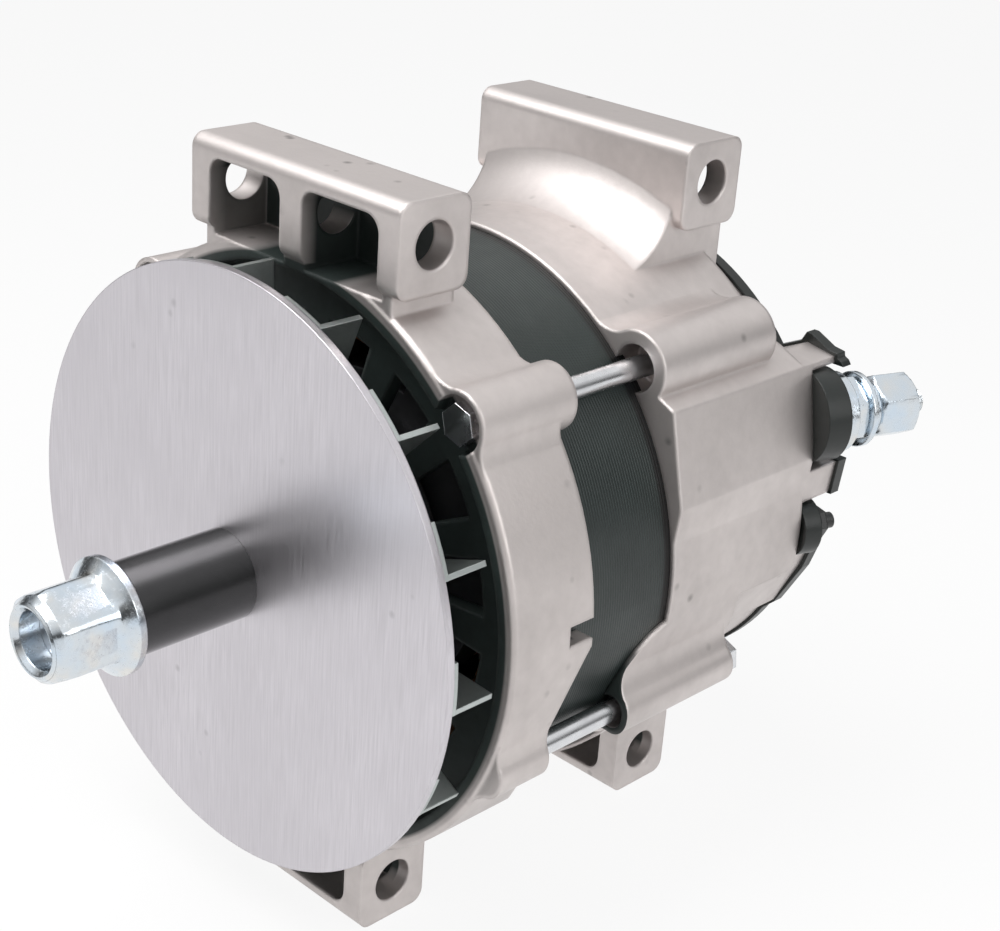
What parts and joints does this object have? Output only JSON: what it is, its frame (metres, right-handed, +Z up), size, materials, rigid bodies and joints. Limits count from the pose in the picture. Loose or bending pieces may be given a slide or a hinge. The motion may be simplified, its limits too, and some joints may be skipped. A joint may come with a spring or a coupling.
{
  "type": "alternator",
  "caption": "Heavy-duty alternator with a flat disc fan, bare shaft nose, transverse mounting bars and side terminals.",
  "frame": {"origin": "on the shaft axis, at the front face of the fan, where a pulley seats", "axes": "-Y along the shaft towards the pulley nut, +X along the mounting bores to the terminal side, +Z up from the feet to the top bars"},
  "size_m": [0.19, 0.2586, 0.221],
  "materials": {
    "steel_ground": "ground, satin",
    "sleeve_black": "black oxide, glossy",
    "zinc_steel": "bright zinc plating",
    "fan_steel": "brushed sheet, pitted",
    "fan_sheet": "plain sheet",
    "bolt_steel": "bright, drawn",
    "pole_steel": "forged, dull",
    "bobbin_plastic": "natural nylon",
    "copper": "bare copper",
    "winding_copper": "varnished copper",
    "slip_moulding": "moulded",
    "cage_brass": "satin",
    "cast_aluminium": "as cast, shot blasted",
    "core_laminations": "dark varnish over laminations",
    "heat_sink_aluminium": "plain",
    "diode_metal": "nickel plated, dull",
    "carbon": "pressed graphite",
    "spring_steel": "plain wire",
    "black_plastic": "moulded black",
    "black_steel": "black oxide"
  },
  "bodies": {
    "housing": {"front_bearing_outer": "steel_ground", "rear_bearing_outer": "steel_ground", "bearing_retainer": "pole_steel", "retainer_screws": "zinc_steel", "drive_end_housing": "cast_aluminium", "stator_core": "core_laminations", "stator_windings": "winding_copper", "slip_ring_end_housing": "cast_aluminium", "through_bolts": "bolt_steel", "negative_heat_sink": "heat_sink_aluminium", "positive_heat_sink": "heat_sink_aluminium", "negative_diodes": "diode_metal", "positive_diodes": "diode_metal", "rectifier_insulators": "bobbin_plastic", "rectifier_screws": "zinc_steel", "phase_terminal_block": "slip_moulding", "phase_leads": "winding_copper", "voltage_regulator": "slip_moulding", "regulator_screws": "zinc_steel", "brush_holder": "slip_moulding", "front_brush_spring": "spring_steel", "rear_brush_spring": "spring_steel", "output_busbar": "copper", "output_stud": "zinc_steel", "output_insulator": "black_plastic", "output_clamp_nut": "zinc_steel", "output_washers": "zinc_steel", "output_nut": "zinc_steel", "aux_insulator": "black_plastic", "aux_stud": "black_steel", "aux_nut": "black_steel", "rear_cover": "black_plastic", "cover_screws": "zinc_steel"},
    "rotor": {"shaft": "steel_ground", "spacer_sleeve": "sleeve_black", "pulley_nut": "zinc_steel", "fan_disc": "fan_steel", "fan_blades": "fan_sheet", "fan_collar": "pole_steel", "front_claw_pole": "pole_steel", "rear_claw_pole": "pole_steel", "rotor_core": "pole_steel", "coil_bobbin": "bobbin_plastic", "field_coil": "copper", "slip_ring_hub": "slip_moulding", "slip_rings": "copper", "front_bearing_inner": "steel_ground", "rear_bearing_inner": "steel_ground"},
    "front_balls": {"front_bearing_balls": "steel_ground", "front_bearing_cage": "cage_brass"},
    "rear_balls": {"rear_bearing_balls": "steel_ground", "rear_bearing_cage": "cage_brass"},
    "front_brush": {"front_brush": "carbon"},
    "rear_brush": {"rear_brush": "carbon"}
  },
  "joints": [
    {"name": "rotor_spin", "type": "hinge", "parent": "housing", "child": "rotor", "pos_m": [0, 0, 0], "axis": [0, 1, 0], "continuous": true},
    {"name": "front_balls_spin", "type": "hinge", "parent": "housing", "child": "front_balls", "pos_m": [0, 0.0355, 0], "axis": [0, 1, 0], "continuous": true},
    {"name": "rear_balls_spin", "type": "hinge", "parent": "housing", "child": "rear_balls", "pos_m": [0, 0.11, 0], "axis": [0, 1, 0], "continuous": true},
    {"name": "front_brush_slide", "type": "slide", "parent": "housing", "child": "front_brush", "axis": [0, 0, 1], "range_m": [0, 0.005], "stiffness_N_per_m": 200, "springref_m": -0.006, "deforming": ["front_brush_spring"]},
    {"name": "rear_brush_slide", "type": "slide", "parent": "housing", "child": "rear_brush", "axis": [0, 0, 1], "range_m": [0, 0.005], "stiffness_N_per_m": 200, "springref_m": -0.006, "deforming": ["rear_brush_spring"]}
  ],
  "couplings": [
    {"joint": "front_balls_spin", "follows": "rotor_spin", "ratio": 0.3724},
    {"joint": "rear_balls_spin", "follows": "rotor_spin", "ratio": 0.3791}
  ]
}
